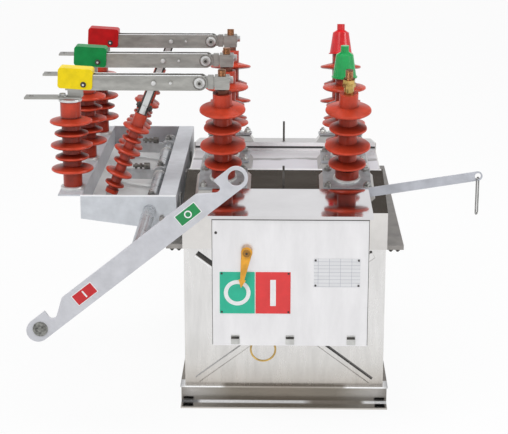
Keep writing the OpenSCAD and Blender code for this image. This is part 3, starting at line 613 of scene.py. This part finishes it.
# The clamp nuts are darkened as painted shade in the gap under the clamps.
shaded_nut_copper = surface("shaded_nut_copper", (0.16, 0.05, 0.03), roughness=0.45, grain=60, metallic=0.6,
                      spread=0.25)
stud_nut = round_disc("stud_nut", radius=0.0165, height=0.012, bevel=0.002, sides=6)
lay_out("clamp_nuts", stud_nut, [
    terminal(pole, -1) @ at(0, 0, -0.030) @ Matrix.Rotation(0.4 + pole, 4, "Z") for pole in (-1, 0, 1)
], "breaker", shaded_nut_copper)

# ---- Switch frame and shaft ----
# A tray of folded sheet, enamelled grey, holds the posts and the bearings of the zinc plated
# steel shaft. Flat cranks are clamped on the shaft, one for each pole.
frame_enamel = surface("frame_enamel", (0.60, 0.62, 0.65), roughness=0.42, grain=30, spread=0.06)
dress(frame_enamel, "frame_rear", "frame_left", "frame_right")
# The front wall takes a slightly lighter copy of the grey enamel as painted light, and its top edge is
# painted near white as a painted highlight.
lit_face_enamel = surface("lit_face_enamel", (0.66, 0.68, 0.71), roughness=0.42, grain=30, spread=0.06)
lit_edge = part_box("frame_front")[1][2] - 0.0035
painted(lit_face_enamel, worked(lit_face_enamel, "GREATER_THAN", along(lit_face_enamel, "Z"), lit_edge),
        (0.95, 0.95, 0.96))
dress(lit_face_enamel, "frame_front")
# The tray's floor takes a much lighter copy of the grey enamel, as painted light.
lit_floor_enamel = surface("lit_floor_enamel", (0.80, 0.81, 0.80), roughness=0.5, grain=12, spread=0.06)
dress(lit_floor_enamel, "frame_floor")
shaft_zinc = surface("shaft_zinc", (0.56, 0.58, 0.60), roughness=0.28, grain=30, metallic=0.6)
dress(shaft_zinc, "shaft")
crank_zinc = surface("crank_zinc", (0.60, 0.61, 0.62), roughness=0.4, grain=30, metallic=0.25)
dress(crank_zinc, "cranks")
bright_zinc = surface("bright_zinc", (0.70, 0.70, 0.69), roughness=0.3, grain=60, metallic=0.5,
                      spread=0.08, bump=0.03)
nut_zinc = surface("nut_zinc", (0.28, 0.27, 0.25), roughness=0.35, grain=120, metallic=0.85, spread=0.3)

# Clamp rings, crank bolts and set screws: they turn with the shaft.
joints = {joint["name"]: joint["pos_m"] for joint in frame["joints"]}
shaft_x, shaft_z = joints["switch_shaft"][0], joints["switch_shaft"][2]
pole_rows = (-pole_pitch, 0.0, pole_pitch)
to_front = turned(90, "X")
to_back = turned(-90, "X")
to_right = turned(90, "Y")
shaft_ring = round_disc("shaft_ring", radius=0.0205, height=0.010, bevel=0.002, base=-0.005, sides=40)
lay_out("shaft_rings", shaft_ring, [
    at(shaft_x, y, shaft_z) @ to_front for y in (-0.36, -0.04, 0.24, 0.40)
], "switch_drive", bright_zinc)
crank_bolt = hex_bolt("crank_bolt", corner=0.0095, height=0.009, washer=0.012, end=0.006)
lay_out("crank_bolts", crank_bolt, [
    at(shaft_x, y + 0.01, shaft_z + 0.022) @ Matrix.Rotation(-0.2, 4, "Y") for y in pole_rows
], "switch_drive", bolt_zinc)
set_screw = joined("set_screw", [
    round_disc("thread", radius=0.0045, height=0.048, bevel=0.001, sides=16),
    round_disc("first_nut", radius=0.0085, height=0.007, bevel=0.001, base=0.005, sides=6),
    round_disc("second_nut", radius=0.0085, height=0.007, bevel=0.001, base=0.019, sides=6),
    round_disc("round_nut", radius=0.0095, height=0.016, bevel=0.002, base=0.032, sides=24),
])
lay_out("set_screws", set_screw, [at(-0.4335, y, 0.5610) @ to_right for y in (0.0, pole_pitch)],
        "switch_drive", nut_zinc)

# ---- Pull insulators ----
# A rod in red silicone sheds between two cast zinc ends. Its foot is pinned to a crank and its head, a
# pair of links whose sides are painted dark as painted shade, to a blade. It leans in line with its two
# pins.
rod_silicone = surface("rod_silicone", (0.58, 0.055, 0.020), roughness=0.34, grain=26, spread=0.14,
                       bump=0.03)
# Painted shade in the grooves between the sheds.
shade_grooves(rod_silicone, 0.04, 0.40, 0.97, groove_shade)
pivot_x, blade_z = joints["blade_front_pivot"][0], joints["blade_front_pivot"][2]
foot_pin_x = joints["rod_front_pin"][0]
head_pin_x = pivot_x - (shaft_x - foot_pin_x)
rod_lean = math.atan2(head_pin_x - foot_pin_x, blade_z - shaft_z)
rod_x, rod_z = along(rod_silicone, "X"), along(rod_silicone, "Z")
lean_sine, lean_cosine = math.sin(rod_lean), math.cos(rod_lean)
up_rod = worked(rod_silicone, "ADD", worked(rod_silicone, "MULTIPLY", rod_x, lean_sine),
                worked(rod_silicone, "MULTIPLY", rod_z, lean_cosine))
across_rod = worked(rod_silicone, "SUBTRACT", worked(rod_silicone, "MULTIPLY", rod_x, lean_cosine),
                    worked(rod_silicone, "MULTIPLY", rod_z, lean_sine))
foot = foot_pin_x * lean_sine + shaft_z * lean_cosine
middle_line = foot_pin_x * lean_cosine - shaft_z * lean_sine
foot_top, head_start, head_top = foot + 0.034, foot + 0.2645, foot + 0.36
metal_end = bands(rod_silicone, up_rod, [
    (foot, 1.0), (foot_top, 0.0), (head_start, 1.0), (head_top, 1.0)], "CONSTANT")
painted(rod_silicone, metal_end, (0.66, 0.67, 0.66))
# Painted shade: the sides of the head links are near black; only a band along their middle stays light.
link_front = worked(rod_silicone, "COMPARE", across_rod, middle_line, 0.0075)
on_head = worked(rod_silicone, "GREATER_THAN", up_rod, head_start)
link_side_shade = worked(rod_silicone, "MULTIPLY", on_head, worked(rod_silicone, "SUBTRACT", 1.0, link_front))
painted(rod_silicone, link_side_shade, (0.07, 0.06, 0.055))
rod_silicone.node_tree.links.new(
    worked(rod_silicone, "MULTIPLY", metal_end, 0.7), shader_of(rod_silicone).inputs["Metallic"])
dress(rod_silicone, "rod_front", "rod_middle", "rod_rear")

# ---- Blades ----
# Two tinned copper bars to a pole, which turn on a bolt in the clamp of the left terminal. A
# coloured rubber cover is screwed over the contact at the free end.
tinned_bar = surface("tinned_bar", (0.42, 0.415, 0.39), roughness=0.38, grain=22, metallic=0.85,
                     stretch=(1, 1, 3))
# Painted highlight: the top faces of the bars are near white and non-metal.
lit_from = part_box("blade_front")[1][2] - 0.0008
lit_top = worked(tinned_bar, "GREATER_THAN", along(tinned_bar, "Z"), lit_from)
painted(tinned_bar, lit_top, (0.95, 0.95, 0.95))
dulled(tinned_bar, lit_top)
dress(tinned_bar, "blade_front", "blade_middle", "blade_rear")
tinned_copper = surface("tinned_copper", (0.42, 0.415, 0.39), roughness=0.38, grain=22,
                        metallic=0.85, stretch=(1, 1, 3))
dress(tinned_copper, "terminal_clamps", "post_contacts")
green_rubber = surface("green_rubber", (0.006, 0.25, 0.06), roughness=0.38, grain=40, spread=0.1,
                       bump=0.04)
red_rubber = surface("red_rubber", (0.50, 0.006, 0.008), roughness=0.38, grain=40, spread=0.1,
                     bump=0.04)
yellow_rubber = surface("yellow_rubber", (0.90, 0.68, 0.008), roughness=0.38, grain=40, spread=0.06,
                        bump=0.04)
for colour, rubber in (("green", green_rubber), ("red", red_rubber), ("yellow", yellow_rubber)):
    shader_of(rubber).inputs["Specular IOR Level"].default_value = 0.2
    dress(rubber, "cover_" + colour)


def thin_plate(name, width, height, thickness, corner):
    """A flat plate with rounded corners, its back on the ground plane."""
    bpy.ops.object.select_all(action="DESELECT")
    bpy.ops.mesh.primitive_plane_add(size=1, location=(0, 0, 0))
    plate = bpy.context.object
    plate.name = name
    plate.scale = (width, height, 1)
    bpy.ops.object.transform_apply(location=True, rotation=True, scale=True)
    bpy.ops.object.mode_set(mode="EDIT")
    bpy.ops.mesh.select_all(action="SELECT")
    bpy.ops.mesh.bevel(offset=corner, segments=3, affect="VERTICES")
    bpy.ops.mesh.select_all(action="SELECT")
    bpy.ops.mesh.extrude_region_move(TRANSFORM_OT_translate={"value": (0, 0, thickness)})
    bpy.ops.mesh.select_all(action="SELECT")
    bpy.ops.mesh.normals_make_consistent(inside=False)
    bpy.ops.object.mode_set(mode="OBJECT")
    return plate


def both_sides(x, y, z, half):
    """Places on the two sides of a blade in the row at y, facing outwards."""
    return [at(x, y - half, z) @ to_front, at(x, y + half, z) @ to_back]


# Pivot nut on a washer and a shim, rivets, cover screws each with a bright pin that stands in for its
# glint as a painted highlight, the bolts of the rod's head, the side plate of the clamp and its screw.
# Each rides with what it fastens.
pivot_nut = hex_bolt("pivot_nut", corner=0.0078, height=0.007, washer=0.0085, end=0.003)
pivot_washer = round_disc("pivot_washer", radius=0.0140, height=0.0024, bevel=0.0008)
pivot_shim = round_disc("pivot_shim", radius=0.0178, height=0.0012, bevel=0.0005)
main_rivet = round_disc("blade_rivet", radius=0.0062, height=0.0032, bevel=0.0018)
small_rivet = round_disc("small_rivet", radius=0.0036, height=0.0018, bevel=0.0010)
cover_screw = hex_bolt("cover_screw", corner=0.0055, height=0.005, washer=0.0075)
cover_glint_pin = round_disc("cover_glint_pin", radius=0.0030, height=0.0062, bevel=0.0008, sides=16)
cross_bolt = hex_bolt("cross_bolt", corner=0.0085, height=0.0065, washer=0.0095, end=0.003)
lug_plate = thin_plate("lug_plate", width=0.0155, height=0.035, thickness=0.020, corner=0.001)
clamp_screw = hex_bolt("clamp_screw", corner=0.0095, height=0.010, washer=0.011)
dark_steel = surface("dark_steel", (0.075, 0.07, 0.065), roughness=0.45, grain=90, metallic=0.7,
                     spread=0.2)
bar_side, pin_side, cover_side = 0.018, 0.0215, 0.023
for name, y in zip(("front", "middle", "rear"), pole_rows):
    last = name == "rear"
    pivot = both_sides(pivot_x, y, blade_z, bar_side)
    main = both_sides(head_pin_x, y, blade_z, pin_side)
    small = both_sides(-0.298, y, blade_z, pin_side)
    screws = both_sides(-0.524, y, blade_z - 0.004, cover_side)
    for group, pattern, places, finish in (
            ("pivot_nuts_", pivot_nut, pivot, dark_steel),
            ("pivot_shims_", pivot_shim, pivot, nut_zinc),
            ("pivot_washers_", pivot_washer, pivot, bright_zinc),
            ("blade_rivets_main_", main_rivet, main, bright_zinc),
            ("blade_rivets_small_", small_rivet, small, bright_zinc),
            ("cover_screws_", cover_screw, screws, dark_steel),
            ("cover_pins_", cover_glint_pin, screws, bright_zinc)):
        lay_out(group + name, pattern, places, "blade_" + name + "_body", finish, last)
    rod_head = at(head_pin_x, y, blade_z) @ Matrix.Rotation(rod_lean, 4, "Y")
    lay_out("cross_bolts_" + name, cross_bolt, [
        rod_head @ at(way * 0.0125, 0, -0.071) @ turned(way * 90, "Y") for way in (-1, 1)
    ], "rod_" + name + "_body", dark_steel, last)
    lay_out("lug_plates_" + name, lug_plate, [at(-0.1943, y + 0.010, blade_z) @ to_front],
            "breaker", tinned_copper, last)
    lay_out("clamp_screws_" + name, clamp_screw, [at(-0.1465, y + 0.011, blade_z + 0.004) @ to_right],
            "breaker", bright_zinc, last)

# ---- Posts ----
# Ribbed insulators of the same silicone stand on the tray between two cast rings. The flat
# terminal strip is bolted on top, where the blade closes on it.
post_x = -0.562
post_low, post_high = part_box("posts")
post_ring = round_disc("post_ring", radius=0.0330, height=0.009, bevel=0.003, sides=48)
lay_out("post_rings", post_ring, [
    at(post_x, y, post_low[2]) for y in pole_rows
], "breaker", bright_zinc)
head_ring = round_disc("head_ring", radius=0.0305, height=0.006, bevel=0.002, sides=48)
lay_out("post_head_rings", head_ring, [
    at(post_x, y, post_high[2] - 0.007) for y in pole_rows
], "breaker", bright_zinc)
strip_thickness = 0.005
strip_bolt = hex_bolt("strip_bolt", corner=0.009, height=0.008, washer=0.013)
lay_out("strip_bolts", strip_bolt, [
    at(post_x - 0.020, y, post_high[2] + strip_thickness) for y in pole_rows
], "breaker", bolt_zinc)


# ---- Handle ----
# Flat enamelled lever, keyed on the shaft end, with a hook notch near each end. Two enamelled
# labels have the general signs for off and on, and a galvanised plug fills the lower end.
def ring_sign(name, radius, stroke, thickness):
    """A flat ring, the general sign for off."""
    bpy.ops.object.select_all(action="DESELECT")
    bpy.ops.mesh.primitive_circle_add(vertices=48, radius=radius, fill_type="NGON", location=(0, 0, 0))
    ring = bpy.context.object
    ring.name = name
    bpy.ops.object.mode_set(mode="EDIT")
    bpy.ops.mesh.select_all(action="SELECT")
    bpy.ops.mesh.inset(thickness=stroke)
    bpy.ops.mesh.delete(type="FACE")
    bpy.ops.mesh.select_all(action="SELECT")
    bpy.ops.mesh.extrude_region_move(TRANSFORM_OT_translate={"value": (0, 0, thickness)})
    bpy.ops.mesh.select_all(action="SELECT")
    bpy.ops.mesh.normals_make_consistent(inside=False)
    bpy.ops.object.mode_set(mode="OBJECT")
    return ring


def fix(piece, place, body, finish):
    """Puts one finished piece in its place, on its body and in its finish."""
    piece.data.transform(place)
    piece.data.materials.clear()
    piece.data.materials.append(finish)
    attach(piece, body)


handle_enamel = surface("handle_enamel", (0.64, 0.64, 0.67), roughness=0.4, grain=30, spread=0.05,
                        bump=0.04)
dress(handle_enamel, "handle")
plug_zinc = surface("plug_zinc", (0.26, 0.26, 0.24), roughness=0.6, grain=160, metallic=0.4,
                    spread=0.45, bump=0.4)
dress(plug_zinc, "handle_plug")
lever = at(-0.361, -0.706, 0.518) @ turned(-38.6, "Y") @ to_front
lever_face = 0.008
white_enamel = surface("white_enamel", (0.90, 0.90, 0.89), roughness=0.35, grain=60, spread=0.02,
                       bump=0.02)
label_green = surface("label_green", (0.012, 0.27, 0.075), roughness=0.35, grain=60, spread=0.06,
                      bump=0.02)
label_red = surface("label_red", (0.62, 0.015, 0.02), roughness=0.35, grain=60, spread=0.06, bump=0.02)
for name, up_lever, enamel in (("off", 0.166, label_green), ("on", -0.160, label_red)):
    spot = lever @ at(up_lever, 0.002, lever_face)
    for part, size, thickness, finish in (
            ("border", (0.062, 0.032), 0.0005, white_enamel), ("field", (0.058, 0.028), 0.0009, enamel)):
        plate = thin_plate("label_" + part + "_" + name, *size, thickness, corner=0.001)
        fix(plate, spot, "switch_drive", finish)
    if name == "off":
        sign = ring_sign("label_sign_off", radius=0.0095, stroke=0.0032, thickness=0.0013)
    else:
        sign = thin_plate("label_sign_on", width=0.004, height=0.019, thickness=0.0013, corner=0.0005)
    fix(sign, spot, "switch_drive", white_enamel)

# ---- Mechanism box ----
# A box of bright stainless sheet with a screwed front cover, and a lid polished like a mirror.
# The orange pointer turns on a hub in the cover and shows the state of the breaker.
box_steel = surface("box_steel", (0.86, 0.85, 0.86), roughness=0.3, grain=12, metallic=0.75,
                    stretch=(2, 2, 0.5), spread=0.04, bump=0.03)
dress(box_steel, "mechanism_box", "mechanism_front")
lid_steel = surface("lid_steel", (0.68, 0.67, 0.68), roughness=0.06, grain=5, metallic=1.0,
                    spread=0.04, bump=0.06, deep=0.003)
dress(lid_steel, "mechanism_lid")
pointer_enamel = surface("pointer_enamel", (0.86, 0.40, 0.03), roughness=0.35, grain=40, bump=0.03)
dress(pointer_enamel, "pointer")

# Dark rubber seals show at the two upright edges of the cover, and a dark strip lies on the cover just
# under the lid.
low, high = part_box("mechanism_front")
cover_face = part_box("sign_plate")[1][1]
middle_x, middle_z = (low[0] + high[0]) / 2, (low[2] + high[2]) / 2
dark_strip_finish = surface("dark_strip_finish", (0.10, 0.095, 0.09), roughness=0.5, grain=60, spread=0.2)
for name, x in (("left", low[0] + 0.0007), ("right", high[0] - 0.0007)):
    seal = thin_plate("cover_seal_" + name, width=0.0014, height=high[2] - low[2] - 0.004,
                      thickness=0.0004, corner=0.0003)
    fix(seal, at(x, cover_face, middle_z) @ to_front, "breaker", dark_strip_finish)
strip_drop = 0.0050
seal = thin_plate("lid_strip", width=high[0] - low[0], height=strip_drop, thickness=0.0004, corner=0.0003)
fix(seal, at(middle_x, cover_face, high[2] - strip_drop / 2) @ to_front,
    "breaker", dark_strip_finish)

# Hub of the pointer: an enamelled hexagon head with a dark screw in it.
hub_x, hub_z = joints["pointer_pivot"][0], joints["pointer_pivot"][2]
hub_spot = at(hub_x, low[1], hub_z) @ to_front
hub_enamel = surface("hub_enamel", (0.50, 0.24, 0.04), roughness=0.35, grain=60, metallic=0.3,
                     spread=0.2)
hub_washer = hex_bolt("hub_washer", corner=0.0062, height=0.004, washer=0.0098)
lay_out("hub_washer_fixed", hub_washer, [hub_spot], "breaker", hub_enamel)
hub_screw = round_disc("hub_screw", radius=0.0030, height=0.0055, bevel=0.0008, sides=16)
lay_out("hub_screw_fixed", hub_screw, [hub_spot], "breaker", dark_steel)

# Screws of the cover and the case.
case_screw = round_disc("case_screw", radius=0.0035, height=0.002, bevel=0.001, sides=16)
lay_out("case_screws", case_screw, [
    at(x, cover_face, z) @ to_front for x, z in ((-0.169, 0.560), (0.211, 0.513))
], "breaker", dark_steel)

# Spring clips that hold the lower edge of the cover: a pressed plate under a dark roller.
clip_spots = ((-0.122, 0.282), (0.014, 0.282), (0.166, 0.282))
clip_plate = thin_plate("clip_plate", width=0.022, height=0.024, thickness=0.0018, corner=0.002)
lay_out("clip_plates", clip_plate, [
    at(x, cover_face, z) @ to_front for x, z in clip_spots
], "breaker", bracket_zinc)
clip_roller = round_disc("clip_roller", radius=0.0028, height=0.020, bevel=0.0008, base=-0.010,
                         sides=20)
lay_out("clip_rollers", clip_roller, [
    at(x, cover_face - 0.0035, z + 0.006) @ to_right for x, z in clip_spots
], "breaker", dark_steel)

# ---- Position sign ----
# A white enamelled plate under the pointer with a green and a red half, each with its general
# sign, riveted to the cover at its corners.
dress(white_enamel, "sign_plate")
low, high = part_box("sign_plate")
sign_green = surface("sign_green", (0.02, 0.50, 0.31), roughness=0.3, grain=40, spread=0.04, bump=0.02)
sign_red = surface("sign_red", (0.80, 0.045, 0.045), roughness=0.3, grain=40, spread=0.04, bump=0.02)
half_width = (high[0] - low[0]) / 2
sign_height = high[2] - low[2]
for name, share, enamel in (("off", 0.5, sign_green), ("on", 1.5, sign_red)):
    spot = at(low[0] + share * half_width, low[1], (low[2] + high[2]) / 2) @ to_front
    half = thin_plate("sign_half_" + name, width=half_width - 0.002, height=sign_height - 0.004,
                      thickness=0.0005, corner=0.0008)
    fix(half, spot, "breaker", enamel)
    if name == "off":
        sign = ring_sign("sign_mark_off", radius=0.033, stroke=0.010, thickness=0.0009)
    else:
        sign = thin_plate("sign_mark_on", width=0.014, height=0.068, thickness=0.0009, corner=0.001)
    fix(sign, spot, "breaker", white_enamel)


def corner_spots(node, inset):
    """Places near the four corners of a plate on the front of the box."""
    low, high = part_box(node)
    return [at(x, low[1], z) @ to_front
            for x in (low[0] + inset, high[0] - inset) for z in (low[2] + inset, high[2] - inset)]


plate_rivet = round_disc("rivet", radius=0.0026, height=0.0022, bevel=0.001, sides=16)
lay_out("sign_rivets", plate_rivet, corner_spots("sign_plate", 0.006),
        "breaker", dark_steel, last=False)

# ---- Rating plate ----
# Bare brushed metal with an empty printed grid and no lettering, riveted at the corners.
# The grid is a brick pattern with unshifted rows, laid flat on the front of the plate.
name_plate_steel = surface("name_plate_steel", (0.80, 0.80, 0.81), roughness=0.4, grain=60,
                           metallic=0.35, spread=0.03, bump=0.03)
plate_tree = name_plate_steel.node_tree
grid_flat = plate_tree.nodes.new("ShaderNodeCombineXYZ")
grid = plate_tree.nodes.new("ShaderNodeTexBrick")
grid.offset = 0.0
grid.inputs["Scale"].default_value = 1.0
grid.inputs["Brick Width"].default_value = 0.0275
grid.inputs["Row Height"].default_value = 0.0092
grid.inputs["Mortar Size"].default_value = 0.00045
grid.inputs["Color1"].default_value = (0.80, 0.80, 0.81, 1)
grid.inputs["Color2"].default_value = (0.76, 0.76, 0.77, 1)
grid.inputs["Mortar"].default_value = (0.45, 0.45, 0.50, 1)
plate_tree.links.new(along(name_plate_steel, "X"), grid_flat.inputs["X"])
plate_tree.links.new(along(name_plate_steel, "Z"), grid_flat.inputs["Y"])
plate_tree.links.new(grid_flat.outputs["Vector"], grid.inputs["Vector"])
plate_tree.links.new(grid.outputs["Color"], shader_of(name_plate_steel).inputs["Base Color"])
dress(name_plate_steel, "name_plate")
lay_out("name_rivets", plate_rivet, corner_spots("name_plate", 0.004),
        "breaker", dark_steel)

# ---- Roof flange nuts ----
# Dark steel nuts with their bolt ends under both side flanges, three pairs to a side. They hold
# the roof down on the housing.
under_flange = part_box("side_beams")[0][2]
beam_nut = hex_bolt("beam_nut", corner=0.0065, height=0.007, washer=0.0075, end=0.003)
lay_out("beam_nuts", beam_nut, [
    at(way * x, y, under_flange) @ turned(180, "X")
    for way in (-1, 1) for x in (0.2775, 0.2955) for y in (-0.405, 0.0, 0.405)
], "breaker", dark_steel)
